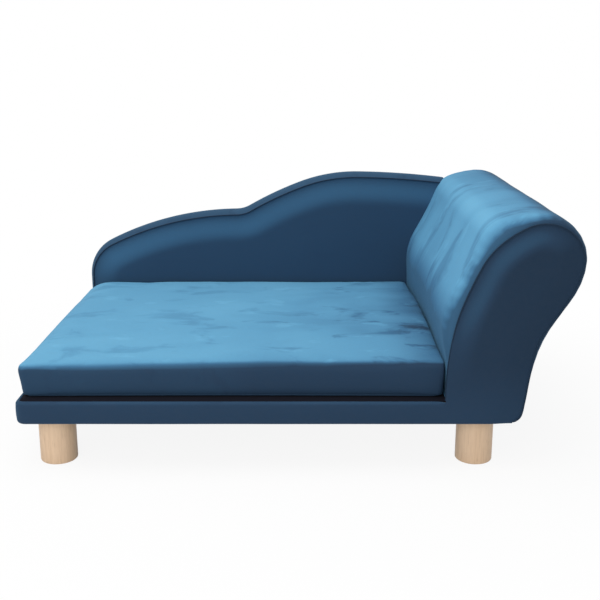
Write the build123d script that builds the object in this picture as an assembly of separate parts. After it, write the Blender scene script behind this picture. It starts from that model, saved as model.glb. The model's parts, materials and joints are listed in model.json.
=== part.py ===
from build123d import *
from math import cos, pi, sin
import os

os.makedirs("parts", exist_ok=True)

# Sofa for a dog, in millimetres: front towards -Y, rolled arm at +X, floor at Z = 0
length = 742.0
depth = 500.0

# Legs
leg_radius = 25.0
leg_height = 67.0
leg_inset = 44.0
leg_front_inset = 45.0
leg_right_inset = 43.8
leg_rounding = 2.5
bolt_radius = 4.0
bolt_sink = 28.0
bolt_clearance = 0.1
tee_nut_radius = 11.0
tee_nut_flange = 1.5
tee_nut_wall = 1.2
tee_nut_length = 10.0

# Base, from the dust cloth up to the velvet on the deck
dust_thick = 0.8
cover_thick = 1.2
rail_height = 22.0
rail_thick = 18.0
deck_thick = 6.0
base_pad_thick = 6.0
base_lower_radius = 3.0
flap_width = 20.0
deck_turn = 2.0
block_width = 50.0
deck_cloth_thick = 0.8

# Rolled arm: the outline runs up the inner side, over the roll and down the outer side
arm_width = 180.0
arm_rise = 246.0
arm_lean = 3.3
arm_pillow_radius = 11.0
arm_foam_thick = 14.0
arm_pad_thick = 6.0
skin_thick = 3.0
former_thick = 12.0
batten_width = 18.0
foot_rail_width = 75.0
arm_low_point_shares = (0.028, -0.03)
arm_curve_shares = [
    (0.0, 0.375),
    (0.067, 0.585),
    (0.256, 0.87),
    (0.422, 0.974),
    (0.644, 1.0),
    (1.0, 0.752),
    (0.894, 0.528),
    (0.678, 0.211),
    (0.622, -0.05),
]
arm_corner_radius = 17.0
arm_reach_steps = 64
top_batten_shares = (0.60, 0.86)
roll_batten_shares = (0.78, 0.72)

# Back: the top edge rises from the low left end to the crest in a wave
back_thick = 48.0
back_setback = 6.0
back_rise = 243.0
back_crown = 8.0
back_crown_steps = 8
back_foam_thick = 22.0
back_board_thick = 9.0
back_edge_foam_thick = 14.0
back_wadding_thick = 4.6
back_rail_height = 22.0
back_post_width = 20.0
back_reach_share = 0.383
back_curve_shares = [
    (0.0, 0.255),
    (0.061, 0.51),
    (0.416, 0.7325),
    (0.451, 0.757),
    (0.592, 0.928),
    (0.752, 1.0),
    (1.0, 0.955),
]

# Piping and the gaps that soft parts keep
piping_radius = 1.5
back_piping_radius = 1.4
piping_facets = 8
soft_gap = 0.3

# Loose seat cushion
cushion_side_height = 44.0
cushion_crown = 10.0
cushion_side_setback = 8.0
cushion_front_setback = 16.0
cushion_rear_gap = 4.0
cushion_corner = 26.0
cushion_front_corner = 7.0
cushion_draw_in = 3.0
cushion_lower_radius = 9.0
cushion_upper_radius = 12.0
cushion_round_steps = 3
cushion_crown_steps = 4
cushion_corner_facets = 4
cushion_side_facets = 4
cushion_crown_reach_share = 0.85
corner_growth_share = 0.15

# Zip in the rear edge of the cushion cover
zip_inset = 55.0
zip_tape_height = 16.0
zip_coil_height = 3.0
zip_coil_thick = 1.2
slider_length = 14.0
slider_height = 9.0
slider_thick = 3.1

# Bolts from below that hold the arm and the back
frame_bolt_radius = 2.0
frame_bolt_head_radius = 3.5
frame_bolt_head = 4.0
frame_bolt_grip = 14.0
frame_bolt_end_share = 0.3

# One overrun serves all cuts
overrun = 60.0

# Levels
z_flap = leg_height + dust_thick
z_rail = z_flap + cover_thick
z_deck = z_rail + rail_height
z_seat = z_deck + deck_thick
z_base_top = z_seat + cover_thick

# The upholstered edge of the base rounds just clear of the deck board's corner
base_edge_radius = cover_thick + base_pad_thick - soft_gap

# Outer planes; the piping stands on the flat panels, within the overall depth
x_left = -length / 2
x_right = length / 2
y_face = -depth / 2 + 2 * piping_radius
y_rear = depth / 2 - 2 * piping_radius
arm_x = x_right - arm_width
arm_foot_x = arm_x + arm_curve_shares[-1][0] * arm_width

# Timber frame of the base
frame_left = x_left + cover_thick + base_pad_thick
frame_right = arm_foot_x - cover_thick - arm_foam_thick
frame_front = y_face + cover_thick + base_pad_thick
frame_rear = y_rear - cover_thick - base_pad_thick
frame_middle = (frame_left + frame_right) / 2

# Legs stand on a rectangle
leg_xs = {"left": x_left + leg_inset, "right": frame_right - leg_right_inset}
leg_ys = {"front": -depth / 2 + leg_front_inset, "rear": depth / 2 - leg_front_inset}

# Back
back_front = y_rear - back_thick
back_left = x_left + back_setback
back_end = arm_x + back_reach_share * arm_width
board_front = back_front + cover_thick + back_foam_thick
board_rear = board_front + back_board_thick
post_rear = y_rear - cover_thick - back_wadding_thick


def block(x0, x1, y0, y1, z0, z1):
    """A box between two opposite corners."""
    centre = ((x0 + x1) / 2, (y0 + y1) / 2, (z0 + z1) / 2)
    return Pos(*centre) * Box(x1 - x0, y1 - y0, z1 - z0)


def post(x, y, z0, z1, radius):
    """An upright cylinder."""
    return Pos(x, y, (z0 + z1) / 2) * Cylinder(radius, z1 - z0)


def tangent_chain(start, direction, points):
    """Arcs that run on smoothly from one point to the next."""
    edges = []
    here = start
    heading = direction
    for point in points:
        arc = TangentArc(here, point, tangent=heading)
        edges.append(arc)
        here = point
        heading = arc % 1
    return edges


def inset_face(wire, inset):
    """The face inside a closed outline, drawn in by inset, or let out where it is negative."""
    if inset == 0:
        return Face(wire)
    return Face(wire.offset_2d(-inset, kind=Kind.INTERSECTION))


def prism(face, y0, y1):
    """A face in the XZ plane, carried from one depth to another."""
    return extrude(Pos(0, y0, 0) * face, amount=y1 - y0, dir=(0, 1, 0))


def only(part):
    """The largest solid of a result that may carry loose slivers."""
    return max(part.solids(), key=lambda solid: solid.volume)


# Arm outlines
def arm_point(share):
    return (arm_x + share[0] * arm_width, 0, z_base_top + share[1] * arm_rise)


def arm_arcs():
    lean = arm_lean * pi / 180
    start = arm_point(arm_low_point_shares)
    points = [arm_point(share) for share in arm_curve_shares]
    corner = (points[-1][0] - arm_corner_radius, 0, z_flap)
    return tangent_chain(start, (-sin(lean), 0, cos(lean)), points + [corner])


def arm_outline():
    arcs = arm_arcs()
    start = arcs[0] @ 0
    heading = arcs[0] % 0
    drop = start.Z - z_flap
    low = (start.X - heading.X / heading.Z * drop, 0, z_flap)
    return Wire([Line(low, start), *arcs, Line(arcs[-1] @ 1, low)])


def arm_solid(inset):
    """The whole arm with its rounded front and rear edges, drawn in by inset."""
    y0 = y_face + inset
    y1 = y_rear - inset
    body = prism(inset_face(arm_outline(), inset), y0, y1)
    ends = body.edges().filter_by(lambda edge: abs(edge.center().Y - y0) < soft_gap)
    ends += body.edges().filter_by(lambda edge: abs(edge.center().Y - y1) < soft_gap)
    return fillet(ends, arm_pillow_radius - inset)


def arm_prism(inset, y0, y1, z0):
    """A slice of the arm's outline drawn in by inset, above the level z0."""
    body = prism(inset_face(arm_outline(), inset), y0, y1)
    return body & block(x_left, x_right + overrun, y0 - overrun, y1 + overrun, z0, z0 + arm_rise + overrun)


# Base block, open towards the arm
def base_block(inset):
    x1 = frame_right + inset
    body = block(x_left + inset, x1, y_face + inset, y_rear - inset, z_flap + inset, z_base_top - inset)
    left = body.edges().filter_by(Axis.Z).filter_by(lambda edge: edge.center().X < frame_left)
    body = fillet(left, base_edge_radius - inset)
    open_end = frame_right - base_edge_radius
    upper = body.faces().sort_by(Axis.Z)[-1].edges().filter_by(lambda edge: edge.center().X < open_end)
    body = fillet(upper, base_edge_radius - inset)
    lower = body.faces().sort_by(Axis.Z)[0].edges().filter_by(lambda edge: edge.center().X < open_end)
    return fillet(lower, base_lower_radius - inset)


# Wave-topped back
def back_outline():
    width = back_end - back_left
    points = [(back_left + u * width, 0, z_base_top + w * back_rise) for u, w in back_curve_shares]
    low = z_seat - overrun
    arcs = tangent_chain(points[0], (0, 0, 1), points[1:])
    start = (back_left, 0, low)
    end = (back_end, 0, low)
    return Wire([Line(start, points[0]), *arcs, Line(points[-1], end), Line(end, start)])


def back_shape(inset):
    """The back with its crowned edge, down to the deck and up against the arm."""
    outline = back_outline()
    sections = []
    for step in range(back_crown_steps + 1):
        share = step / back_crown_steps
        y = back_front + inset + share * (back_thick - 2 * inset)
        drop = back_crown * (2 * share - 1) ** 2
        sections.append(Pos(0, y, 0) * inset_face(outline, inset + drop))
    body = loft(sections, ruled=True)
    body -= block(x_left, x_right, y_face, y_rear + overrun, z_seat - 2 * overrun, z_seat)
    return only(body - arm_solid(-soft_gap))


def cushion_section(box, z, inset):
    """The cushion's outline at one level, in short facets, drawn in between the corners on three sides."""
    x0, x1, y0, y1 = box
    x0, x1, y0, y1 = x0 + inset, x1 - inset, y0 + inset, y1 - inset
    r = cushion_corner + corner_growth_share * inset
    f = cushion_front_corner + corner_growth_share * inset
    turn, front_turn = r * (1 - cos(pi / 4)), f * (1 - cos(pi / 4))
    xm, ym = (x0 + x1) / 2, (y0 + y1) / 2
    sag = cushion_draw_in
    side, corner = cushion_side_facets, cushion_corner_facets
    runs = [
        (ThreePointArc((x0 + f, y0, z), (xm, y0 + sag, z), (x1 - f, y0, z)), side),
        (ThreePointArc((x1 - f, y0, z), (x1 - front_turn, y0 + front_turn, z), (x1, y0 + f, z)), corner),
        (ThreePointArc((x1, y0 + f, z), (x1 - sag, ym, z), (x1, y1 - r, z)), side),
        (ThreePointArc((x1, y1 - r, z), (x1 - turn, y1 - turn, z), (x1 - r, y1, z)), corner),
        (Line((x1 - r, y1, z), (x0 + r, y1, z)), 1),
        (ThreePointArc((x0 + r, y1, z), (x0 + turn, y1 - turn, z), (x0, y1 - r, z)), corner),
        (ThreePointArc((x0, y1 - r, z), (x0 + sag, ym, z), (x0, y0 + f, z)), side),
        (ThreePointArc((x0, y0 + f, z), (x0 + front_turn, y0 + front_turn, z), (x0 + f, y0, z)), corner),
    ]
    points = []
    for run, facets in runs:
        points += [run @ (step / facets) for step in range(facets)]
    return Face(Wire.make_polygon(points, close=True))


def cushion_solid(box, z0, skin):
    """The crowned box cushion, drawn in by skin."""
    x0, x1, y0, y1 = box
    inner = (x0 + skin, x1 - skin, y0 + skin, y1 - skin)
    low = z0 + skin
    shoulder = z0 + cushion_side_height - skin
    lower, upper = cushion_lower_radius - skin, cushion_upper_radius - skin
    levels = []
    for step in range(cushion_round_steps + 1):
        angle = step / cushion_round_steps * pi / 2
        levels.append((low + lower * (1 - cos(angle)), lower * (1 - sin(angle))))
    for step in range(cushion_round_steps):
        angle = step / cushion_round_steps * pi / 2
        levels.append((shoulder - upper * (1 - sin(angle)), upper * (1 - cos(angle))))
    half = (y1 - y0) / 2
    crown_reach = cushion_crown_reach_share * (half - upper - cushion_corner)
    for step in range(1, cushion_crown_steps + 1):
        share = step / cushion_crown_steps
        rise = cushion_crown * (1 - (1 - share) ** 2)
        levels.append((shoulder + rise, upper + share * crown_reach))
    return loft([cushion_section(inner, z, inset) for z, inset in levels], ruled=True)


def arm_inner_reach(z_top):
    """The place furthest from the arm that its inner side reaches below a level."""
    reach = x_right
    for arc in arm_arcs()[:2]:
        for step in range(arm_reach_steps + 1):
            point = arc @ (step / arm_reach_steps)
            if point.Z < z_top:
                reach = min(reach, point.X)
    return reach


parts = {}

# Base rails
rail_ends = (frame_left + rail_thick, frame_right - rail_thick)
parts["base_rail_front"] = block(frame_left, frame_right, frame_front, frame_front + rail_thick, z_rail, z_deck)
parts["base_rail_rear"] = block(frame_left, frame_right, frame_rear - rail_thick, frame_rear, z_rail, z_deck)
inner_front = frame_front + rail_thick
inner_rear = frame_rear - rail_thick
parts["base_rail_left"] = block(frame_left, rail_ends[0], inner_front, inner_rear, z_rail, z_deck)
parts["base_rail_right"] = block(rail_ends[1], frame_right, inner_front, inner_rear, z_rail, z_deck)
half_rail = rail_thick / 2
parts["base_rail_middle"] = block(
    frame_middle - half_rail, frame_middle + half_rail, inner_front, inner_rear, z_rail, z_deck
)
arm_rail_x = rail_ends[1] - block_width / 2
parts["base_rail_arm"] = block(
    arm_rail_x - half_rail, arm_rail_x + half_rail,
    inner_front + block_width, inner_rear - block_width, z_rail, z_deck,
)

# Leg blocks in the corners of the rails, each with a stepped bore for its tee nut
block_xs = {"left": (rail_ends[0], rail_ends[0] + block_width), "right": (rail_ends[1] - block_width, rail_ends[1])}
block_ys = {"front": (inner_front, inner_front + block_width), "rear": (inner_rear - block_width, inner_rear)}
barrel_radius = bolt_radius + tee_nut_wall
tee_nuts = []
hanger_bolts = []
for row, y in leg_ys.items():
    for side, x in leg_xs.items():
        bore = post(x, y, z_rail, z_deck, barrel_radius) + post(
            x, y, z_deck - tee_nut_flange, z_deck, tee_nut_radius
        )
        body = block(*block_xs[side], *block_ys[row], z_rail, z_deck)
        parts[f"leg_block_{row}_{side}"] = body - bore
        nut = post(x, y, z_deck - tee_nut_flange, z_deck, tee_nut_radius)
        nut += post(x, y, z_deck - tee_nut_length, z_deck, barrel_radius)
        tee_nuts.append(nut - post(x, y, z_rail, z_deck + overrun, bolt_radius + bolt_clearance))
        hanger_bolts.append(post(x, y, leg_height - bolt_sink, z_deck - tee_nut_flange, bolt_radius))
        leg = post(x, y, 0, leg_height, leg_radius)
        leg = fillet(leg.edges().sort_by(Axis.Z)[:1], leg_rounding)
        sink = post(x, y, leg_height - bolt_sink, leg_height + overrun, bolt_radius + bolt_clearance)
        parts[f"leg_{row}_{side}"] = leg - sink
parts["tee_nuts"] = Compound(children=[nut.solid() for nut in tee_nuts])
parts["hanger_bolts"] = Compound(children=[bolt.solid() for bolt in hanger_bolts])

# Deck board
parts["seat_deck"] = block(frame_left, frame_right, frame_front, frame_rear, z_deck, z_seat)

# Envelopes of the upholstery, outside and inside the velvet
arm_outer = arm_solid(0)
arm_inner = arm_solid(cover_thick)
base_outer = base_block(0)
base_inner = base_block(cover_thick)
back_outer = back_shape(0)
back_inner = back_shape(cover_thick)

# Padding of the base, outside the timber frame
frame_zone = block(frame_left, frame_right + overrun, frame_front, frame_rear, 0, z_base_top + overrun)
base_end = block(frame_right, x_right, y_face - overrun, y_rear + overrun, 0, z_base_top + overrun)
parts["base_padding"] = only(base_inner - frame_zone - base_end)

# Arm timber: two formers, the skin board that bends over them, and battens between
wrap = cover_thick + arm_foam_thick
pad_front = y_face + cover_thick + arm_pad_thick
pad_rear = y_rear - cover_thick - arm_pad_thick
former_inset = wrap + skin_thick
parts["arm_former_front"] = arm_prism(former_inset, pad_front, pad_front + former_thick, z_seat)
parts["arm_former_rear"] = arm_prism(former_inset, pad_rear - former_thick, pad_rear, z_seat)
parts["arm_skin_board"] = arm_prism(wrap, pad_front, pad_rear, z_seat) - arm_prism(
    former_inset, pad_front - overrun, pad_rear + overrun, z_seat - overrun
)
batten_ends = (pad_front + former_thick, pad_rear - former_thick)
former_space = arm_prism(former_inset, *batten_ends, z_seat)
foot_rail_zone = block(
    frame_right - skin_thick - foot_rail_width, frame_right, *batten_ends, z_seat, z_seat + batten_width
)
parts["arm_foot_rail"] = only(former_space & foot_rail_zone)
for name, share in (("arm_batten_top", top_batten_shares), ("arm_batten_roll", roll_batten_shares)):
    x, _, z = arm_point(share)
    half = batten_width / 2
    parts[name] = only(former_space & block(x - half, x + half, *batten_ends, z - half, z + half))

# Arm foam, wrapped over the skin board and down past the right-hand rail
under_arm = block(x_left, frame_right, y_face - overrun, y_rear + overrun, z_flap - overrun, z_base_top)
below_rail = block(x_left, x_right, y_face - overrun, y_rear + overrun, z_flap - overrun, z_rail)
arm_hollow = arm_prism(wrap, y_face - overrun, y_rear + overrun, z_seat)
arm_foam = arm_inner - under_arm - below_rail - arm_hollow

# Thin pads on the faces of the formers
front_pad = arm_prism(wrap, y_face + cover_thick, pad_front, z_seat)
rear_pad = arm_prism(wrap, pad_rear, y_rear - cover_thick, z_seat)

# Piping round the flat panels of the arm
panel_arcs = inset_face(arm_outline(), arm_pillow_radius).outer_wire()


def arm_piping(y):
    arcs = [edge for edge in panel_arcs.edges() if edge.geom_type == GeomType.CIRCLE]
    path = Wire(arcs).moved(Pos(0, y, 0))
    tube = sweep(Plane(path @ 0, z_dir=path % 0) * RegularPolygon(piping_radius, piping_facets), path=path)
    return tube - block(x_left, frame_right, y - overrun, y + overrun, z_flap - overrun, z_base_top)


piping_front = arm_piping(y_face - piping_radius)
piping_rear = arm_piping(y_rear + piping_radius)

# Velvet round the arm, cut along the seams of its flat panels
shell = arm_outer - arm_inner
panel_prism_front = prism(Face(panel_arcs), y_face - overrun, y_face + cover_thick)
panel_prism_rear = prism(Face(panel_arcs), y_rear - cover_thick, y_rear + overrun)
arm_zone = block(x_left, x_right + overrun, -depth, depth, z_base_top, z_base_top + arm_rise + overrun)
arm_zone += block(frame_right + soft_gap, x_right + overrun, -depth, depth, z_flap - overrun, z_base_top)
arm_cover = (shell & arm_zone) - panel_prism_front - panel_prism_rear
arm_rear_cover = prism(Face(panel_arcs), y_rear - cover_thick, y_rear) & arm_zone

# Velvet round the base: front, left, rear and the turned edges, open towards the arm
flap_edge = frame_front + flap_width
deck_edge = frame_front + deck_turn
deck_opening = block(
    frame_left + deck_turn, frame_right + overrun, deck_edge, y_rear + overrun, z_seat, z_base_top + overrun
)
deck_opening += block(back_left, frame_right + overrun, back_front, y_rear + overrun, z_seat, z_base_top + overrun)
under_opening = block(
    frame_left + flap_width, frame_right - flap_width,
    flap_edge, frame_rear - flap_width, z_flap - overrun, z_rail,
)
panel_foot = prism(Face(panel_arcs), 0, cover_thick) & block(x_left, x_right, 0, cover_thick, z_seat, z_base_top)
foot_seam_x = panel_foot.bounding_box().min.X
under_foot = block(foot_seam_x, x_right, y_face - overrun, y_rear, z_flap + base_lower_radius, z_base_top + overrun)
base_cover = base_outer - base_inner - deck_opening - under_opening - base_end - under_foot

# The front of the base and the front panel of the arm are one piece of velvet
front_strip = block(
    foot_seam_x, frame_right, y_face, y_face + cover_thick, z_flap + base_lower_radius, z_base_top
)
arm_panel = prism(Face(panel_arcs), y_face, y_face + cover_thick) & arm_zone
base_cover = base_cover + front_strip + arm_panel
rear_strip = block(
    foot_seam_x, frame_right, y_rear - cover_thick, y_rear, z_flap + base_lower_radius, z_seat
)
base_cover += rear_strip

for name, pad in (("arm_front_pad", front_pad), ("arm_rear_pad", rear_pad), ("arm_foam", arm_foam)):
    parts[name] = only(pad)
parts["arm_cover"] = only(arm_cover)
parts["arm_rear_cover"] = only(arm_rear_cover)
parts["base_cover"] = only(base_cover)
parts["arm_piping_front"] = only(piping_front)
parts["arm_piping_rear"] = only(piping_rear)

# Black cloth on the deck between the flaps, the arm and the back
deck_cloth = block(
    frame_left + deck_turn, frame_right, deck_edge, back_front, z_seat, z_seat + deck_cloth_thick
)
parts["deck_cloth"] = only(deck_cloth - arm_outer)

# Dust cloth stapled under the rails, over the turned-in edges
dust_edge = flap_width / 2
parts["dust_cloth"] = block(
    frame_left + dust_edge, frame_right - dust_edge, frame_front + dust_edge, frame_rear - dust_edge,
    leg_height, z_flap,
) - [post(x, y, 0, z_deck, bolt_radius + bolt_clearance) for x in leg_xs.values() for y in leg_ys.values()]

# Back: board, rail and posts, foams and velvet
board_zone = block(x_left, x_right, board_front, board_rear, z_seat, z_seat + back_rise + overrun)
board_face = inset_face(back_outline(), cover_thick + back_edge_foam_thick)
board_full = prism(board_face, board_front - overrun, board_rear + overrun) - arm_solid(-soft_gap)
parts["back_board"] = only(board_full & board_zone)
post_zone = block(x_left, x_right, board_rear, post_rear, z_seat, z_seat + back_rise + overrun)
frame_space = only(board_full & post_zone)
space_box = frame_space.bounding_box()
rail_top = z_seat + back_rail_height
parts["back_rail"] = only(
    frame_space & block(x_left, x_right, board_rear, post_rear, z_seat, rail_top)
)
post_left = space_box.min.X
parts["back_post_left"] = only(
    frame_space & block(post_left, post_left + back_post_width, board_rear, post_rear, rail_top, z_base_top + back_rise)
)
post_right = arm_x - back_post_width - soft_gap
parts["back_post_right"] = only(
    frame_space & block(post_right, post_right + back_post_width, board_rear, post_rear, rail_top, z_base_top + back_rise)
)
front_zone = block(x_left, x_right, back_front, board_front, z_seat, z_seat + back_rise + overrun)
wadding_zone = block(x_left, x_right, post_rear, y_rear, z_seat, z_seat + back_rise + overrun)
edge_zone = block(x_left, x_right, board_front, post_rear, z_seat, z_seat + back_rise + overrun)
parts["back_foam_edge"] = only(
    (back_inner & edge_zone) - prism(board_face, board_front - overrun, post_rear + overrun)
)
parts["back_wadding"] = only(back_inner & wadding_zone)

# Piping on the front edge of the back, standing out at a slant from the seam
seam_stand = back_piping_radius * cos(pi / 4) + bolt_clearance
front_arcs = inset_face(back_outline(), back_crown - seam_stand).outer_wire()
back_path = Wire([edge for edge in front_arcs.edges() if edge.geom_type == GeomType.CIRCLE])
back_path = back_path.moved(Pos(0, back_front - seam_stand, 0))
back_tube = sweep(Plane(back_path @ 0, z_dir=back_path % 0) * RegularPolygon(back_piping_radius, piping_facets), path=back_path)
back_piping = only(back_tube - arm_solid(-soft_gap))
parts["back_piping"] = back_piping
parts["back_foam_front"] = only(back_inner & front_zone)
parts["back_cover"] = only(back_outer - back_inner)

# Bolts from below, heads sunk in the rails
bolt_places = [(arm_rail_x, share * (inner_rear - inner_front - 2 * block_width)) for share in
               (-frame_bolt_end_share, 0, frame_bolt_end_share)]
rear_bolt_y = (board_rear + frame_rear) / 2
rear_span = back_end - back_left
bolt_places += [(frame_middle + share * rear_span, rear_bolt_y) for share in
                (-frame_bolt_end_share, 0, frame_bolt_end_share)]
frame_bolts = []
bolt_holes = []
for x, y in bolt_places:
    top = z_seat + frame_bolt_grip
    frame_bolts.append(
        (post(x, y, z_rail, z_rail + frame_bolt_head, frame_bolt_head_radius)
         + post(x, y, z_rail, top, frame_bolt_radius)).solid()
    )
    bolt_holes.append(
        post(x, y, z_rail, z_rail + frame_bolt_head, frame_bolt_head_radius + bolt_clearance)
        + post(x, y, z_rail, top + bolt_clearance, frame_bolt_radius + bolt_clearance)
    )
parts["frame_bolts"] = Compound(children=frame_bolts)
for name in ("base_rail_arm", "base_rail_rear", "base_rail_middle", "seat_deck", "arm_foot_rail", "back_rail"):
    parts[name] = only(parts[name] - bolt_holes)

# Seat cushion: foam core, velvet cover and the zip in its rear edge
cushion_z = z_base_top + soft_gap
cushion_shoulder = cushion_z + cushion_side_height - cushion_upper_radius
cushion_box = (
    x_left + cushion_side_setback,
    arm_inner_reach(cushion_shoulder + cushion_upper_radius / 2) - soft_gap,
    y_face + cushion_front_setback,
    back_front - cushion_rear_gap,
)
cushion_outer = cushion_solid(cushion_box, cushion_z, 0)
cushion_inner = cushion_solid(cushion_box, cushion_z, cover_thick)
zip_z = (cushion_z + cushion_lower_radius + cushion_shoulder) / 2
zip_y = cushion_box[3]
zip_x0 = cushion_box[0] + zip_inset
zip_x1 = cushion_box[1] - zip_inset
half_tape = zip_tape_height / 2
half_coil = zip_coil_height / 2
tape = block(zip_x0, zip_x1, zip_y - cover_thick, zip_y, zip_z - half_tape, zip_z + half_tape)
parts["cushion_foam"] = only(cushion_inner)
parts["cushion_cover"] = only(cushion_outer - cushion_inner - tape)
parts["zip_tape"] = only(tape)
parts["zip_coil"] = block(zip_x0, zip_x1, zip_y, zip_y + zip_coil_thick, zip_z - half_coil, zip_z + half_coil)
slider_y0 = zip_y + soft_gap
slider = block(
    zip_x0, zip_x0 + slider_length, slider_y0, slider_y0 + slider_thick,
    zip_z - slider_height / 2, zip_z + slider_height / 2,
)
slot = block(
    zip_x0 - overrun, zip_x1, zip_y - overrun, zip_y + zip_coil_thick + soft_gap,
    zip_z - half_coil - soft_gap, zip_z + half_coil + soft_gap,
)
parts["zip_slider"] = only(slider - slot)

for name, body in parts.items():
    export_step(body, f"parts/{name}.step")
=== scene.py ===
import json
import math

import bmesh
import bpy
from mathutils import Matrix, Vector, kdtree, noise


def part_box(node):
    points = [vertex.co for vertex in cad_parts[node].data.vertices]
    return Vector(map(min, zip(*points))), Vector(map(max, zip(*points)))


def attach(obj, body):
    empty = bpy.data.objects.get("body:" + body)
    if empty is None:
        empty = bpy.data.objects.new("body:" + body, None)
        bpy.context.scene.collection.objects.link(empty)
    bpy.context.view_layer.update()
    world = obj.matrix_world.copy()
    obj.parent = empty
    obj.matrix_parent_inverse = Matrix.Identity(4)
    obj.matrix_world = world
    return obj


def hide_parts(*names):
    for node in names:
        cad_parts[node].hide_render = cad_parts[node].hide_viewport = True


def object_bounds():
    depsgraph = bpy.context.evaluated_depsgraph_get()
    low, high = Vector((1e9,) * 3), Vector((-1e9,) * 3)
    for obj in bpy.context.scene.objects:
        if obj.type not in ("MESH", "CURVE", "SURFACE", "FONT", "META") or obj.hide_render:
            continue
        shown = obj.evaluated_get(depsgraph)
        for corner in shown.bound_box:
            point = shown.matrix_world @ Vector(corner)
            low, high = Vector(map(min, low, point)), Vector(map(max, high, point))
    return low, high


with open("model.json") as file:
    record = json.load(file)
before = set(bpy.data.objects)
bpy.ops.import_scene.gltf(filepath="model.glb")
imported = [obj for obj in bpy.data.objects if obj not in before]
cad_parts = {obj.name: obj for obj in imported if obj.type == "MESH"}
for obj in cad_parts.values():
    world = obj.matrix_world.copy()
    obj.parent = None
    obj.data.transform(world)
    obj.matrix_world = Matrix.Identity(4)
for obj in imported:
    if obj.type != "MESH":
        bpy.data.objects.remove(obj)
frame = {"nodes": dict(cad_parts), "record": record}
cad_low, cad_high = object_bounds()

# Real sizes in metres, as in the part, and the arm's lean in degrees
mm = 0.001
cover = 1.2 * mm
arm_width = 180 * mm
arm_rise = 246 * mm
arm_lean = 3.3
arm_corner_radius = 17 * mm
back_rise = 243 * mm
back_crown = 8 * mm
edge_radius = 4 * mm
lower_radius = 4 * mm
base_corner_radius = 12 * mm
base_bulge = 1.3 * mm
lower_roll = 2.8 * mm
flap_width = 20 * mm
edge_drop = 1.6 * mm

# How far the cushion presses into the foot of the arm, and spreads at its two sides
cushion_press = 4 * mm
cushion_spread_right = 7 * mm
cushion_spread_left = 5.5 * mm

# How far the seams of the flat faces sit behind the padding beside them, and how far in that reaches
panel_recess = 3 * mm
panel_reach = 34 * mm
back_recess = 4.5 * mm
back_rear_recess = 1 * mm
back_reach = 44 * mm

# The pipings' radii, and how far they stand out of their seams and up from the back's
arm_piping_radius = 1.15 * mm
arm_piping_out = 0.4 * mm
back_piping_radius = 1.1 * mm
back_piping_out = 0.7 * mm
back_piping_up = 0.3 * mm

# Places taken from the frame
z_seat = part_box("seat_deck")[1].z
z_base_top = z_seat + cover
z_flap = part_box("dust_cloth")[1].z
z_low = z_flap - lower_roll
z_edge = z_base_top - edge_drop
z_wall_top = z_edge - edge_radius
z_back_foot = z_seat - 3 * mm
x_left, x_right = cad_low.x, cad_high.x
y_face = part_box("base_cover")[0].y
y_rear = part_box("base_cover")[1].y
arm_x = x_right - arm_width
back_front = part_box("back_cover")[0].y
back_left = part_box("back_cover")[0].x
back_end = arm_x + 0.383 * arm_width

# Mesh steps that functions share: rows up the flat panels, and the spacing along the back's top
panel_rows = 66
back_step = 6 * mm

# The arm's outline as shares of its width and rise, up the inner side and over the roll
arm_start_share = (0.028, -0.03)
arm_curve_shares = [
    (0.0, 0.375),
    (0.067, 0.585),
    (0.256, 0.87),
    (0.422, 0.974),
    (0.644, 1.0),
    (1.0, 0.752),
    (0.894, 0.528),
    (0.678, 0.211),
    (0.622, -0.05),
]

# The seam round the flat panel inside that outline, as the same shares
seam_lean = 2.7
seam_start_share = (0.033, -0.03)
seam_curve_shares = [
    (0.073, 0.373),
    (0.144, 0.552),
    (0.25, 0.727),
    (0.389, 0.857),
    (0.556, 0.936),
    (0.722, 0.955),
    (0.867, 0.91),
    (0.959, 0.812),
    (0.969, 0.743),
    (0.922, 0.617),
    (0.767, 0.426),
    (0.656, 0.239),
    (0.619, 0.06),
    (0.592, -0.074),
    (0.528, -0.12),
]

# The top of the back as shares of its width and rise, from the low left end
back_curve_shares = [
    (0.0, 0.255),
    (0.061, 0.51),
    (0.416, 0.7325),
    (0.451, 0.757),
    (0.592, 0.928),
    (0.752, 1.0),
    (1.0, 0.955),
]


# Curves made of arcs that run on smoothly
def rotated(vector, angle):
    """A flat vector turned anticlockwise."""
    c, s = math.cos(angle), math.sin(angle)
    return Vector((vector.x * c - vector.y * s, vector.x * s + vector.y * c))


def arc_points(start, heading, end, step):
    """Points along the arc that leaves start in a direction and ends at end, and its last direction."""
    chord = end - start
    turn = 2 * heading.angle_signed(chord)
    if abs(turn) < 1e-4:
        count = max(2, round(chord.length / step))
        return [start + chord * i / count for i in range(1, count + 1)], heading
    radius = chord.length / (2 * math.sin(abs(turn) / 2))
    side = rotated(heading, math.pi / 2 if turn < 0 else -math.pi / 2)
    centre = start + side * radius
    count = max(2, round(radius * abs(turn) / step))
    points = [centre + rotated(start - centre, -turn * i / count) for i in range(1, count + 1)]
    return points, rotated(heading, -turn)


def chain(start, heading, stops, step):
    """Evenly spaced points on a run of tangent arcs."""
    points = [start]
    for stop in stops:
        more, heading = arc_points(points[-1], heading, stop, step)
        points += more
    return points


def normals(points):
    """The flat normals at the points of an open curve, to the left of its run."""
    result = []
    for i in range(len(points)):
        along = points[min(i + 1, len(points) - 1)] - points[max(i - 1, 0)]
        result.append(rotated(along, math.pi / 2).normalized())
    return result


def lengths_along(points):
    """The distance from the start to each point of a curve."""
    result = [0.0]
    for first, second in zip(points, points[1:]):
        result.append(result[-1] + (second - first).length)
    return result


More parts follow.
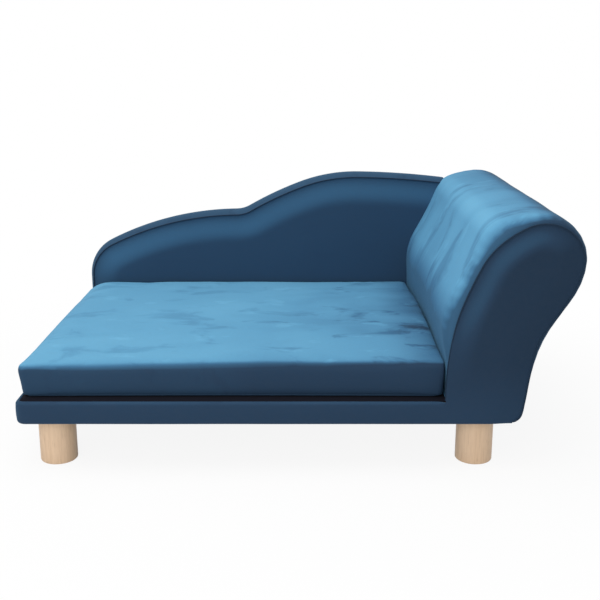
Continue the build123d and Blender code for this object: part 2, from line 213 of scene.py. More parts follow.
def resample(points, count):
    """The same curve with evenly spaced points."""
    lengths = lengths_along(points)
    result = []
    at = 0
    for i in range(count + 1):
        wanted = lengths[-1] * i / count
        while at < len(points) - 2 and lengths[at + 1] < wanted:
            at += 1
        span = lengths[at + 1] - lengths[at]
        share = (wanted - lengths[at]) / span if span else 0
        result.append(points[at].lerp(points[at + 1], min(share, 1)))
    return result


def smooth_step(value, low, high):
    share = min(max((value - low) / (high - low), 0), 1)
    return share * share * (3 - 2 * share)


def ripple(point, scale, seed):
    """Steady smooth noise, from about -1 to 1."""
    return noise.noise(Vector((point[0] / scale, point[1] / scale + seed, point[2] / scale)))


def arm_point(share):
    return Vector((arm_x + share[0] * arm_width, z_base_top + share[1] * arm_rise))


def arm_curve(step):
    """The arm's padded outline, from the deck on its inner side to the dust cloth under its outer side."""
    lean = math.radians(arm_lean)
    stops = [arm_point(share) for share in arm_curve_shares]
    stops.append(Vector((stops[-1].x - arm_corner_radius, z_low)))
    stops.append(Vector((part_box("dust_cloth")[1].x - 3 * mm, z_flap)))
    return chain(arm_point(arm_start_share), Vector((-math.sin(lean), math.cos(lean))), stops, step)


def arm_seam(step):
    """The seam of the flat panel, from the deck on the inner side to under the outer side."""
    lean = math.radians(seam_lean)
    stops = [arm_point(share) for share in seam_curve_shares]
    return chain(arm_point(seam_start_share), Vector((-math.sin(lean), math.cos(lean))), stops, step)


def arm_edges(step):
    """The padded outline, the way out from it, and the seam points that lie beside its points."""
    curve = arm_curve(step)
    seam = arm_seam(1 * mm)
    ahead = 60
    beside = []
    at = 0
    for point in curve:
        near = range(at, min(at + ahead, len(seam)))
        at = min(near, key=lambda i: (seam[i] - point).length)
        beside.append(seam[at])
    return curve, normals(curve), beside


def back_curve(step):
    """The top outline of the back, from the deck at the left end to inside the arm."""
    width = back_end - back_left
    stops = [Vector((back_left + u * width, z_base_top + w * back_rise)) for u, w in back_curve_shares]
    foot = Vector((back_left, z_back_foot))
    count = round((stops[0] - foot).length / step)
    side = [foot.lerp(stops[0], i / count) for i in range(count)]
    return side + chain(stops[0], Vector((0, 1)), stops[1:], step)


def nearness(points):
    """A search tree over flat points, which gives the distance to the nearest of them."""
    tree = kdtree.KDTree(len(points))
    for index, point in enumerate(points):
        tree.insert((point.x, point.y, 0), index)
    tree.balance()
    return lambda point: tree.find((point.x, point.y, 0))[2]


# Mesh helpers
def mesh_object(name, vertices, faces, material, body="carcass"):
    """A smooth-shaded piece that rides on a body."""
    mesh = bpy.data.meshes.new(name)
    mesh.from_pydata(vertices, [], faces)
    mesh.update()
    piece = bpy.data.objects.new(name, mesh)
    bpy.context.collection.objects.link(piece)
    for polygon in mesh.polygons:
        polygon.use_smooth = True
    mesh.materials.append(material)
    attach(piece, body)
    return piece


def grid_faces(rows, columns, closed=False):
    """Quads over a grid of points, with columns counted along each row."""
    faces = []
    last = columns if closed else columns - 1
    for row in range(rows - 1):
        for column in range(last):
            beside = (column + 1) % columns
            low = row * columns
            high = low + columns
            faces.append((low + column, low + beside, high + beside, high + column))
    return faces


def outward(piece, inside):
    """Merges doubled points and turns the faces away from a point inside."""
    merge_gap = 0.02 * mm
    work = bmesh.new()
    work.from_mesh(piece.data)
    bmesh.ops.remove_doubles(work, verts=work.verts, dist=merge_gap)
    bmesh.ops.recalc_face_normals(work, faces=work.faces)
    facing_out = 0
    for face in work.faces:
        facing_out += (face.calc_center_median() - inside).dot(face.normal) * face.calc_area()
    if facing_out < 0:
        bmesh.ops.reverse_faces(work, faces=work.faces)
    work.to_mesh(piece.data)
    work.free()


def upholstery(piece, inside, fill, *nodes):
    """Finishes a padded piece and hides the solids that it stands for."""
    outward(piece, inside)
    modifier = piece.modifiers.new("smooth", "SUBSURF")
    modifier.levels = 1
    modifier.render_levels = 1
    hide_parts(*nodes)


def cord(name, points, radius, material, body, slot, *nodes):
    """A sewn cord or seam as a round curve."""
    curve = bpy.data.curves.new(name, "CURVE")
    curve.dimensions = "3D"
    curve.bevel_depth = radius
    curve.bevel_resolution = 3
    curve.use_fill_caps = True
    spline = curve.splines.new("POLY")
    spline.points.add(len(points) - 1)
    for target, point in zip(spline.points, points):
        target.co = (*point, 1)
    piece = bpy.data.objects.new(name, curve)
    bpy.context.collection.objects.link(piece)
    curve.materials.append(material)
    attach(piece, body)
    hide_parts(*nodes)


# Materials
class Nodes:
    """A small helper for node materials."""

    def __init__(self, name):
        self.material = bpy.data.materials.new(name)
        self.material.use_nodes = True
        self.tree = self.material.node_tree
        self.shader = self.tree.nodes["Principled BSDF"]
        self.place = self.new("TexCoord").outputs["Object"]

    def link(self, output, target):
        self.tree.links.new(output, target)

    def feed(self, target, value):
        """A socket takes either a number or another node's output."""
        if isinstance(value, (int, float, tuple)):
            target.default_value = value
        else:
            self.link(value, target)

    def surface(self, name, value):
        self.feed(self.shader.inputs[name], value)

    def new(self, kind, **inputs):
        """A new node with some of its inputs fed."""
        node = self.tree.nodes.new("ShaderNode" + kind)
        for name, value in inputs.items():
            self.feed(node.inputs[name], value)
        return node

    def noise(self, scale, stretch=(1, 1, 1), detail=3.0, roughness=0.5, distortion=0.0):
        place = self.new("Mapping", Vector=self.place, Scale=stretch).outputs["Vector"]
        node = self.new("TexNoise", Vector=place, Scale=scale, Detail=detail, Roughness=roughness,
                        Distortion=distortion)
        return node.outputs["Fac"]

    def ramp(self, value, stops):
        node = self.new("ValToRGB", Fac=value)
        points = node.color_ramp.elements
        while len(points) < len(stops):
            points.new(0.5)
        for point, (place, colour) in zip(points, stops):
            point.position = place
            point.color = (*colour, 1)
        return node.outputs["Color"]

    def math(self, operation, first, second, clamp=False):
        node = self.new("Math")
        node.operation = operation
        node.use_clamp = clamp
        self.feed(node.inputs[0], first)
        self.feed(node.inputs[1], second)
        return node.outputs["Value"]

    def band(self, value, low, high, to_low, to_high):
        """A value carried smoothly from one range to another."""
        ends = {"From Min": low, "From Max": high, "To Min": to_low, "To Max": to_high}
        node = self.new("MapRange", Value=value, **ends)
        node.interpolation_type = "SMOOTHSTEP"
        return node.outputs["Result"]

    def along(self, axis):
        """The place along one axis of the object."""
        return self.new("SeparateXYZ", Vector=self.place).outputs[axis]

    def ranged(self, value):
        """A number as it is, or an axis, a range along it and the numbers at its two ends."""
        if isinstance(value, tuple):
            axis, low, high, first, second = value
            return self.band(self.along(axis), low, high, first, second)
        return value

    def towards(self, lamp_direction):
        """How far the surface faces a direction, from -1 to 1."""
        node = self.new("VectorMath")
        node.operation = "DOT_PRODUCT"
        self.feed(node.inputs[0], self.new("NewGeometry").outputs["Normal"])
        self.feed(node.inputs[1], lamp_direction)
        return node.outputs["Value"]

    def multiply(self, share, first, second):
        """A colour darkened by another."""
        node = self.new("Mix", Factor=share)
        node.data_type = "RGBA"
        node.blend_type = "MULTIPLY"
        self.link(first, node.inputs[6])
        self.link(second, node.inputs[7])
        return node.outputs[2]

    def bump(self, height, strength, distance):
        return self.new("Bump", Height=height, Strength=strength, Distance=distance).outputs["Normal"]


# Velvet colours from painted shade up to painted light: the tone rises where a surface faces the lamp
velvet_shade_to_light_tones = [
    (0.0, (0.0135, 0.030, 0.058)),
    (0.14, (0.0225, 0.053, 0.103)),
    (0.45, (0.056, 0.175, 0.315)),
    (0.78, (0.118, 0.345, 0.545)),
    (1.0, (0.165, 0.450, 0.665)),
]


def velvet(name, lamp_direction, light_gain, base, streak, brushed, painted_shades=(), darkest=0.0):
    """Velvet with painted light and shade: its tone rises where the surface faces the lamp,
    with brush marks stretched along the streak.

    Each painted shade is an axis and a range along it over which the tone changes by an amount, lighter
    or darker where more or less light falls. The strength of the brush marks and the darkest tone of the
    painted shade are a number each, or an axis, a range along it and the numbers at its two ends."""
    n = Nodes(name)
    # Painted light: the tone rises as the surface turns to face the lamp
    painted_light = n.math("MAXIMUM", n.towards(lamp_direction), 0.0)
    tone = n.math("ADD", n.math("MULTIPLY", painted_light, light_gain), base)
    # Painted shades: the tone changes along an axis where less or more light falls
    for axis, low, high, change in painted_shades:
        tone = n.math("ADD", tone, n.band(n.along(axis), low, high, 0.0, change))
    # A hand has brushed the pile one way or the other, in large soft patches and in smaller smudges
    patches = n.noise(5.5, streak, detail=3.0, roughness=0.55, distortion=0.3)
    smudges = n.noise(15.0, streak, detail=4.0, roughness=0.6, distortion=0.5)
    lights = n.noise(27.0, streak, detail=3.0, roughness=0.55)
    marks = n.math("ADD", n.band(patches, 0.38, 0.62, -0.06, 0.06), n.band(smudges, 0.53, 0.66, 0.0, -0.20))
    marks = n.math("ADD", marks, n.band(lights, 0.60, 0.70, 0.0, 0.10))
    # The pile's brush marks show most where the painted light is
    marks = n.math("MULTIPLY", marks, n.band(painted_light, 0.25, 0.7, 0.12, 1.0))
    tone = n.math("ADD", tone, n.math("MULTIPLY", marks, n.ranged(brushed)))
    colour = n.ramp(n.math("MAXIMUM", tone, n.ranged(darkest), clamp=True), velvet_shade_to_light_tones)
    pile = n.noise(1100.0, detail=2.0, roughness=0.7)
    nap = n.noise(160.0, streak, detail=3.0, roughness=0.6)
    colour = n.multiply(0.25, colour, n.ramp(pile, [(0.3, (0.6, 0.6, 0.6)), (0.7, (1.0, 1.0, 1.0))]))
    colour = n.multiply(0.30, colour, n.ramp(nap, [(0.3, (0.78, 0.80, 0.82)), (0.7, (1.0, 1.0, 1.0))]))
    n.surface("Base Color", colour)
    n.surface("Roughness", n.band(nap, 0.3, 0.7, 0.74, 0.9))
    n.surface("Specular IOR Level", 0.15)
    n.surface("Sheen Weight", 0.20)
    n.surface("Sheen Roughness", 0.4)
    n.surface("Sheen Tint", (0.25, 0.60, 0.90, 1))
    n.surface("Normal", n.bump(pile, 0.35, 0.25 * mm))
    return n.material


def spun_cloth(name, tone):
    """Black spun-bonded cloth with its grid of small welds."""
    n = Nodes(name)
    cells = n.new("TexVoronoi", Vector=n.place, Scale=620.0)
    fibres = n.noise(420.0, (1, 3, 1), detail=4.0, roughness=0.7)
    dark = tuple(value * 0.6 for value in tone)
    n.surface("Base Color", n.ramp(fibres, [(0.3, dark), (0.75, tone)]))
    n.surface("Roughness", 0.95)
    n.surface("Specular IOR Level", 0.12)
    n.surface("Normal", n.bump(cells.outputs["Distance"], 0.4, 0.3 * mm))
    return n.material


def timber(name, light, dark, along, gloss):
    """Straight-grained wood, with its grain drawn out along one axis."""
    n = Nodes(name)
    rings = n.noise(34.0, along, detail=5.0, roughness=0.6, distortion=0.4)
    fibres = n.noise(330.0, along, detail=3.0, roughness=0.7)
    pores = n.noise(900.0, along, detail=1.0)
    base = n.ramp(rings, [(0.28, dark), (0.62, light)])
    base = n.multiply(0.4, base, n.ramp(fibres, [(0.35, (0.80, 0.75, 0.68)), (0.6, (1.0, 1.0, 1.0))]))
    base = n.multiply(0.35, base, n.ramp(pores, [(0.28, (0.55, 0.46, 0.38)), (0.36, (1.0, 1.0, 1.0))]))
    n.surface("Base Color", base)
    n.surface("Roughness", n.band(fibres, 0.3, 0.7, gloss, gloss + 0.12))
    n.surface("Specular IOR Level", 0.3)
    n.surface("Normal", n.bump(fibres, 0.12, 0.2 * mm))
    return n.material


def foam_material(name, tone):
    n = Nodes(name)
    cells = n.noise(1200.0, detail=2.0, roughness=0.8)
    dark = tuple(value * 0.8 for value in tone)
    n.surface("Base Color", n.ramp(cells, [(0.35, dark), (0.65, tone)]))
    n.surface("Roughness", 0.95)
    n.surface("Normal", n.bump(cells, 0.5, 0.4 * mm))
    return n.material


def metal(name, tone, roughness):
    n = Nodes(name)
    brush = n.noise(300.0, (1, 1, 8), detail=2.0)
    dark = tuple(value * 0.75 for value in tone)
    n.surface("Base Color", n.ramp(brush, [(0.3, dark), (0.7, tone)]))
    n.surface("Metallic", 1.0)
    n.surface("Roughness", n.band(brush, 0.3, 0.7, roughness, roughness + 0.1))
    return n.material


def toothed(name, tone):
    """Zip coil: small turns side by side along X."""
    n = Nodes(name)
    wave = n.new("TexWave", Vector=n.place, Scale=210.0)
    dark = tuple(value * 0.4 for value in tone)
    n.surface("Base Color", n.ramp(wave.outputs["Fac"], [(0.2, dark), (0.7, tone)]))
    n.surface("Roughness", 0.45)
    n.surface("Normal", n.bump(wave.outputs["Fac"], 0.8, 0.5 * mm))
    return n.material


even = (1.0, 1.0, 1.0)
# Seat: painted light on the top, painted shade towards the right and deepest by the arm
# The velvets below are one fabric; they differ in painted light and shade and in their brush marks
velvet_seat = velvet(
    "velvet_seat", (-0.08, 0.30, 0.95), light_gain=0.75, base=0.16, streak=(0.7, 1.25, 1.0),
    brushed=("X", -0.15, 0.15, 0.7, 1.35),
    painted_shades=[("X", -0.12, 0.17, -0.20), ("X", 0.12, 0.195, -0.24)], darkest=0.13)
# Arm: painted light on the inner side and top, painted shade low down by the cushion and at the rear end,
# and a darkest tone kept lighter on the inner side than the outer one: painted light and shade
velvet_arm = velvet(
    "velvet_arm", (-0.66, 0.0, 0.75), light_gain=1.30, base=-0.70, streak=(0.6, 1.0, 0.5), brushed=0.9,
    painted_shades=[("Y", 0.10, 0.22, -0.08), ("Z", 0.13, 0.30, 0.29)], darkest=("X", 0.24, 0.36, 0.29, 0.11))
# Arm panel: painted light where its edges puff up to the lamp, painted shade above the base and to the
# right
velvet_panel = velvet(
    "velvet_panel", (-0.5, 0.0, 0.87), light_gain=1.2, base=0.127, streak=even, brushed=0.1,
    painted_shades=[("Z", 0.07, 0.16, -0.06), ("X", 0.20, 0.33, -0.025)])
# Base: painted shade a little darker towards the right
velvet_base = velvet(
    "velvet_base", (-0.5, 0.0, 0.87), light_gain=0.05, base=0.135, streak=(0.6, 1.0, 1.0), brushed=0.15,
    painted_shades=[("X", -0.30, 0.25, -0.01)])
# Back: painted light where it faces up to the lamp, lighter at its left end
velvet_back = velvet(
    "velvet_back", (-0.35, 0.0, 0.94), light_gain=1.0, base=0.195, streak=(0.5, 1.0, 1.4), brushed=0.16,
    painted_shades=[("X", -0.36, -0.22, -0.02)])
# Back's top band: an even tone with faint painted light where it turns up
velvet_crown = velvet("velvet_crown", (-0.3, 0.0, 0.95), light_gain=0.06, base=0.14, streak=even, brushed=0.15)
# Piping: the same velvet at its darkest tone, painted shade of the seams it lies in
velvet_piping = velvet("velvet_piping", (0.0, 0.0, 1.0), light_gain=0.03, base=0.0, streak=even, brushed=0.05)
# Cushion seam: dark, with faint painted light where it faces the front
velvet_seam = velvet("velvet_seam", (0.0, -1.0, 0.0), light_gain=0.06, base=0.06, streak=even, brushed=0.05)
# Deck cloth: black, painted darker than the dust cloth as shade under the cushion
deck_black_and_shade = spun_cloth("deck_black_and_shade", (0.008, 0.008, 0.014))
dust_black = spun_cloth("dust_black", (0.020, 0.020, 0.022))
leg_wood = timber("leg_wood", (0.84, 0.62, 0.43), (0.74, 0.52, 0.34), (1, 1, 0.06), 0.38)
plywood = timber("plywood", (0.60, 0.44, 0.27), (0.48, 0.33, 0.19), (0.08, 1, 1), 0.7)
pine = timber("pine", (0.72, 0.54, 0.33), (0.60, 0.41, 0.22), (0.08, 1, 1), 0.7)
skin_wood = timber("skin_wood", (0.42, 0.29, 0.17), (0.33, 0.21, 0.12), (1, 0.1, 1), 0.7)
foam_cream = foam_material("foam_cream", (0.84, 0.80, 0.68))
wadding_white = foam_material("wadding_white", (0.86, 0.86, 0.84))
zinc = metal("zinc", (0.60, 0.61, 0.62), 0.3)
slider_metal = metal("slider_metal", (0.10, 0.16, 0.22), 0.4)
zip_cloth = spun_cloth("zip_cloth", (0.014, 0.040, 0.070))
zip_teeth = toothed("zip_teeth", (0.020, 0.055, 0.095))

slot_materials = {
    "leg_wood": leg_wood,
    "plywood": plywood,
    "pine": pine,
    "skin_board": skin_wood,
    "foam": foam_cream,
    "wadding": wadding_white,
    "zinc_steel": zinc,
    "zip_slider": slider_metal,
    "zip_tape": zip_cloth,
    "zip_coil": zip_teeth,
    "velvet": velvet_base,
    "piping_velvet": velvet_piping,
    "deck_cloth": deck_black_and_shade,
    "dust_cloth": dust_black,
}


def dress_nodes():
    """Every carried-over solid gets the finish of its slot."""
    for part in frame["record"]["subparts"]:
        node = frame["nodes"][part["node"]]
        node.data.materials.clear()
        node.data.materials.append(slot_materials[part["material_slot"]])


# Arm: padded wrap whose rounded ends run down to the seams of the flat panels
def pressed_in(along, z, y):
    """How far the cushion presses the inner side of the arm in, fading out over a range in each way."""
    inner_end = (0.14, 0.18)
    foot = (z_base_top - 6 * mm, z_base_top + 4 * mm)
    top = (z_base_top + 50 * mm, z_base_top + 85 * mm)
    rear = (60 * mm, 200 * mm)
    inner = 1 - smooth_step(along, *inner_end)
    height = smooth_step(z, *foot) * (1 - smooth_step(z, *top))
    return cushion_press * inner * height * (1 - smooth_step(y, *rear))


def arm_wrap():
    """The velvet round the arm, from the seam of its front panel to that of its rear one."""
    curve, sides, seam = arm_edges(5 * mm)
    turns, rows = 7, 44
    rounding = 11 * mm
    swell_height = 1.5 * mm
    pucker_height, pucker_rate = 0.3 * mm, 260
    shares = [(i / turns, None) for i in range(turns)]
    shares += [(None, i / rows) for i in range(rows + 1)]
    shares += [(1 - i / turns, None) for i in range(1, turns + 1)]
    start, end = y_face + panel_recess, y_rear - panel_recess
    vertices = []
    for number, (turn, body) in enumerate(shares):
        front = number < len(shares) / 2
        for i, (point, side, inner) in enumerate(zip(curve, sides, seam)):
            along = i / len(curve)
            reach = (inner - point).length + rounding
            if body is None:
                angle = turn * math.pi / 2
                gap = reach * (1 - math.cos(angle))
                y = start + gap if front else end - gap
                flat = point.lerp(inner, 1 - math.sin(angle))
            else:
                y = start + reach + (end - start - 2 * reach) * body
                flat = point
            end_gap = min(y - start, end - y)
            place = (point.x, y, point.y)
            tuck = smooth_step(along, 0.0, 0.10) * smooth_step(1 - along, 0.0, 0.15)
            loose = smooth_step(end_gap, 4 * mm, 50 * mm)
            swell = swell_height * ripple(place, scale=0.12, seed=3.0) * loose
            pucker = pucker_height * math.sin(along * pucker_rate) * smooth_step(end_gap, 1 * mm, 6 * mm)
            pucker *= 1 - smooth_step(end_gap, 9 * mm, 30 * mm)
            out = (swell + pucker) * tuck - pressed_in(along, point.y, y)
            vertices.append((flat.x + side.x * out, y, flat.y + side.y * out))
    piece = mesh_object("arm_wrap", vertices, grid_faces(len(shares), len(curve)), velvet_arm)
    inside = Vector((arm_x + 0.6 * arm_width, 0, z_base_top + 0.7 * arm_rise))
    upholstery(piece, inside, 0.85, "arm_cover", "arm_foam")


def panel_chains():
    """Matching points up the panel's left and right edges, from the base's lower edge to the crest."""
    steps = 8
    seam = arm_seam(3 * mm)
    crest = max(range(len(seam)), key=lambda i: seam[i].y)
    inner = [point for point in seam[: crest + 1] if point.y > z_base_top]
    foot = [Vector((inner[0].x, z_low + (z_base_top - z_low) * i / steps)) for i in range(steps)]
    return resample(foot + inner, panel_rows), resample(list(reversed(seam[crest:])), panel_rows)


def flat_panel(name, y, toward, nodes):
    """A lightly padded end of the arm and of the base below it, held in along its seam and turned under."""
    columns = 30
    left_edge, right_edge = panel_chains()
    seam_points = [point for point in left_edge if point.y > z_base_top] + right_edge
    gap_to_seam = nearness(seam_points)

    def sunk(point):
        reach = min(gap_to_seam(point) / panel_reach, 1)
        held = smooth_step(point.y, z_base_top + 20 * mm, z_base_top + 140 * mm)
        held = max(held, smooth_step(point.x, arm_x + 0.3 * arm_width, arm_x + 0.45 * arm_width))
        swell = 0.5 * mm * ripple((point.x, 0, point.y), scale=0.09, seed=7.0) * reach
        return (panel_recess * (1 - smooth_step(reach, 0, 1)) - swell) * held

    foot_rows = base_section()[:turned_under]
    vertices = []
    for inward, z in foot_rows:
        for column in range(columns + 1):
            point = left_edge[0].lerp(right_edge[0], column / columns)
            vertices.append((point.x, y - toward * (sunk(point) - inward), z))
    for left, right in zip(left_edge[1:], right_edge[1:]):
        for column in range(columns + 1):
            point = left.lerp(right, column / columns)
            vertices.append((point.x, y - toward * sunk(point), point.y))
    faces = grid_faces(len(foot_rows) + panel_rows, columns + 1)
    piece = mesh_object(name, vertices, faces, velvet_panel)
    inside = Vector((arm_x + 0.6 * arm_width, 0, z_base_top + 0.5 * arm_rise))
    upholstery(piece, inside, 0.7, *nodes)


def arm_pipings():
    seam = arm_seam(2.5 * mm)
    seam = [point for point in seam if point.y > z_base_top or point.x > arm_x + 0.5 * arm_width]
    for name, y, toward in (("arm_piping_front", y_face, -1), ("arm_piping_rear", y_rear, 1)):
        level = y - toward * (panel_recess - arm_piping_out)
        points = [(point.x, level, point.y) for point in seam]
        cord(name + "_cord", points, arm_piping_radius, velvet_piping, "carcass", "piping_velvet", name)


# Base: a band of velvet round the front, left and rear, rounded over and turned under
def base_path(foot):
    """Plan points and outward directions from the arm's foot along the front, left and rear."""
    path = []
    start, end = x_left + base_corner_radius, foot
    front, sides, turns = 90, 50, 8
    for i in range(front + 1):
        path.append((Vector((end + (start - end) * i / front, y_face)), Vector((0, -1))))
    for i in range(1, turns + 1):
        out = rotated(Vector((0, -1)), -math.pi / 2 * i / turns)
        path.append((Vector((start, y_face + base_corner_radius)) + out * base_corner_radius, out))
    for i in range(1, sides + 1):
        y = y_face + base_corner_radius + (y_rear - y_face - 2 * base_corner_radius) * i / sides
        path.append((Vector((x_left, y)), Vector((-1, 0))))
    for i in range(1, turns + 1):
        out = rotated(Vector((-1, 0)), -math.pi / 2 * i / turns)
        path.append((Vector((start, y_rear - base_corner_radius)) + out * base_corner_radius, out))
    for i in range(1, front + 1):
        path.append((Vector((start + (end - start) * i / front, y_rear)), Vector((0, 1))))
    return path


# Steps of the band's section, and its rows below the wall: two of the flap and the lower rounding's
lower_turns, wall_steps, edge_turns = 4, 6, 6
turned_under = 2 + lower_turns + 1


def base_section():
    """The band's section as reaches and heights, from the edge turned under to the edge on the deck."""
    section = [(-flap_width, z_flap), (-0.6 * flap_width, z_flap - 0.4 * lower_roll)]
    for i in range(lower_turns + 1):
        angle = math.pi / 2 * i / lower_turns
        reach = -lower_radius * (1 - math.sin(angle))
        section.append((reach, z_low + lower_radius * (1 - math.cos(angle))))
    wall_foot = z_low + lower_radius
    for i in range(1, wall_steps):
        section.append((0.0, wall_foot + (z_wall_top - wall_foot) * i / wall_steps))
    for i in range(edge_turns + 1):
        angle = math.pi / 2 * i / edge_turns
        section.append((-edge_radius * (1 - math.cos(angle)), z_wall_top + edge_radius * math.sin(angle)))
    inner = -edge_radius - 0.5 * mm
    section += [(inner, z_edge), (inner - 0.3 * mm, z_edge - 0.4 * mm), (inner - 0.3 * mm, z_edge - 2 * mm)]
    return section


def base_band():
    """Velvet round the base, whose upper edge runs on under the back there."""
    foot = panel_chains()[0][0].x
    path, section = base_path(foot), base_section()
    z_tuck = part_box("deck_cloth")[1].z + 0.3 * mm
    tuck_rows, tuck_step = 4, 4 * mm
    middle = (z_low + z_base_top) / 2
    vertices = []
    for at, out in path:
        under_arm = smooth_step(at.x, foot - 8 * mm, foot)
        under_back = smooth_step(at.y, back_front - 8 * mm, back_front - 1 * mm)
        clear_of_arm = 1 - smooth_step(at.x, foot - 60 * mm, foot)
        for index, (reach, z) in enumerate(section):
            if z > z_wall_top - 0.1 * mm:
                reach *= 1 - under_arm
            tucked = under_back * max(index + tuck_rows - len(section), 0)
            reach -= tuck_step * tucked
            z += (z_tuck - z) * min(tucked, 1)
            inset = -reach
            bulge = base_bulge * max(1 - ((z - middle) / (middle - z_low)) ** 2, 0)
            wave = 0.4 * mm * ripple((at.x, at.y, z), scale=0.09, seed=11.0)
            fullness = (bulge + wave) * clear_of_arm * (reach > -lower_radius)
            place = at + out * (fullness - inset)
            place.x = max(place.x, x_left + inset - fullness)
            place.y = min(max(place.y, y_face + inset - fullness), y_rear - inset + fullness)
            vertices.append((place.x, place.y, z))
    piece = mesh_object("base_band", vertices, grid_faces(len(path), len(section)), velvet_base)
    upholstery(piece, Vector((0, 0, (z_flap + z_base_top) / 2)), 0.9, "base_cover", "base_padding")


# Back: padded front face, crowned edge band and rear face
arm_outline = arm_curve(1 * mm)
arm_crest = max(range(len(arm_outline)), key=lambda i: arm_outline[i].y)
arm_inner_points = arm_outline[:arm_crest]


def arm_inner_x(z):
    """Where the back ends at a height: a little behind the inner side of the padded arm."""
    return min(arm_inner_points, key=lambda point: abs(point.y - z)).x + 2 * mm


def back_edges(step):
    """The top outline of the back and the way out from it."""
    curve = back_curve(step)
    return curve, normals(curve)


def back_band():
    """The top edge, crowned between the seams of the front and rear faces."""
    curve, sides = back_edges(back_step)
    rows = 12
    y0, y1 = back_front + back_recess, y_rear - back_rear_recess
    vertices = []
    for row in range(rows + 1):
        share = row / rows
        drop = back_crown * (2 * share - 1) ** 2
        for point, side in zip(curve, sides):
            seam = point - side * drop
            vertices.append((min(seam.x, arm_inner_x(seam.y)), y0 + (y1 - y0) * share, seam.y))
    piece = mesh_object("back_band", vertices, grid_faces(rows + 1, len(curve)), velvet_crown)
    upholstery(piece, Vector((0, (y0 + y1) / 2, z_seat)), 0.9, "back_cover", "back_foam_edge")


def back_face(name, y, toward, recess, foot, nodes):
    """A padded face under the seam, as columns that lean like the arm at the right end."""
    curve, sides = back_edges(back_step)
    seam = [point - side * back_crown for point, side in zip(curve, sides)]
    gap_to_seam = nearness(resample(seam, 400))
    left = seam[0].x
    start = max(i for i, point in enumerate(curve) if point.x < back_left + 0.01 * mm)
    columns, rows = seam[start:], 34
    vertices = []
    for point in columns:
        top = Vector((min(point.x, arm_inner_x(point.y)), point.y))
        share = max(top.x - left, 0) / (arm_inner_x(top.y) - left)
        for j in range(rows + 1):
            z = foot + (top.y - foot) * j / rows
            x = left + share * (arm_inner_x(z) - left)
            reach = min(gap_to_seam(Vector((x, z))) / back_reach, 1)
            sunk = recess * (1 - smooth_step(reach, 0, 1))
            swell = 0.35 * mm * ripple((x, 0, z), scale=0.12, seed=5.0 + toward) * reach
            vertices.append((x, y - toward * (sunk - swell), z))
    piece = mesh_object(name, vertices, grid_faces(len(columns), rows + 1), velvet_back)
    upholstery(piece, Vector((0, (back_front + y_rear) / 2, z_seat + 50 * mm)), 0.85, *nodes)


def back_piping():
    curve, sides = back_edges(3 * mm)
    points = []
    for point, side in zip(curve, sides):
        seam = point - side * (back_crown - back_piping_up)
        if seam.x < arm_inner_x(seam.y):
            points.append((seam.x, back_front + back_recess - back_piping_out, seam.y))
    cord("back_piping_cord", points, back_piping_radius, velvet_piping, "carcass", "piping_velvet",
         "back_piping")


# Cushion: a crowned box with drawn-in sides, remeshed and blown up as a cloth bag
cushion_side = 43 * mm
cushion_rear_corners = {"left": 24 * mm, "right": 6 * mm}
cushion_front_corner = 5 * mm
cushion_front_bow = 2 * mm
cushion_full = 11 * mm
cushion_front_rise = 4.5 * mm


def corner_point(corner, turned):
    """A point on a round corner, turned by some degrees from where the corner begins."""
    x, y, in_x, in_y, radius, begin = corner
    centre = Vector((x + in_x * radius, y + in_y * radius))
    return centre + rotated(Vector((radius, 0)), math.radians(begin + turned))


def plan_outline(low, high, inset, around):
    """The cushion's closed outline in plan, with round corners and a front edge that bows in a little."""
    x0, x1, y0, y1 = low.x + inset, high.x - inset, low.y + inset, high.y - inset
    more = 0.15 * inset
    front = cushion_front_corner + more
    right, left = cushion_rear_corners["right"] + more, cushion_rear_corners["left"] + more
    corners = [
        (x1, y0, -1, 1, front, -90),
        (x1, y1, -1, -1, right, 0),
        (x0, y1, 1, -1, left, 90),
        (x0, y0, 1, 1, front, 180),
    ]
    turns, steps = 8, 40
    points = []
    for corner, following in zip(corners, corners[1:] + corners[:1]):
        points += [corner_point(corner, 90 * i / turns) for i in range(turns + 1)]
        start, end = points[-1], corner_point(following, 0)
        inward = rotated(end - start, math.pi / 2).normalized()
        bow = cushion_front_bow if following is corners[0] else 0
        for i in range(1, steps):
            share = i / steps
            points.append(start.lerp(end, share) + inward * bow * math.sin(math.pi * share))
    return resample(points + [points[0]], around)[:-1]


def cushion_levels(low):
    """Heights and insets of the cushion's sections, from the bottom to the flat of the top."""
    lower, upper_in, upper_up = 3 * mm, 7 * mm, 5 * mm
    foot_turns, steps, top_turns = 4, 6, 8
    levels = []
    for i in range(foot_turns):
        angle = i / foot_turns * math.pi / 2
        levels.append((lower * (1 - math.sin(angle)), low.z + lower * (1 - math.cos(angle))))
    wall_low, wall_high = low.z + lower, low.z + cushion_side - upper_up
    for i in range(steps):
        levels.append((0.0, wall_low + (wall_high - wall_low) * i / steps))
    for i in range(top_turns + 1):
        angle = i / top_turns * math.pi / 2
        levels.append((upper_in * (1 - math.cos(angle)), wall_high + upper_up * math.sin(angle)))
    return levels


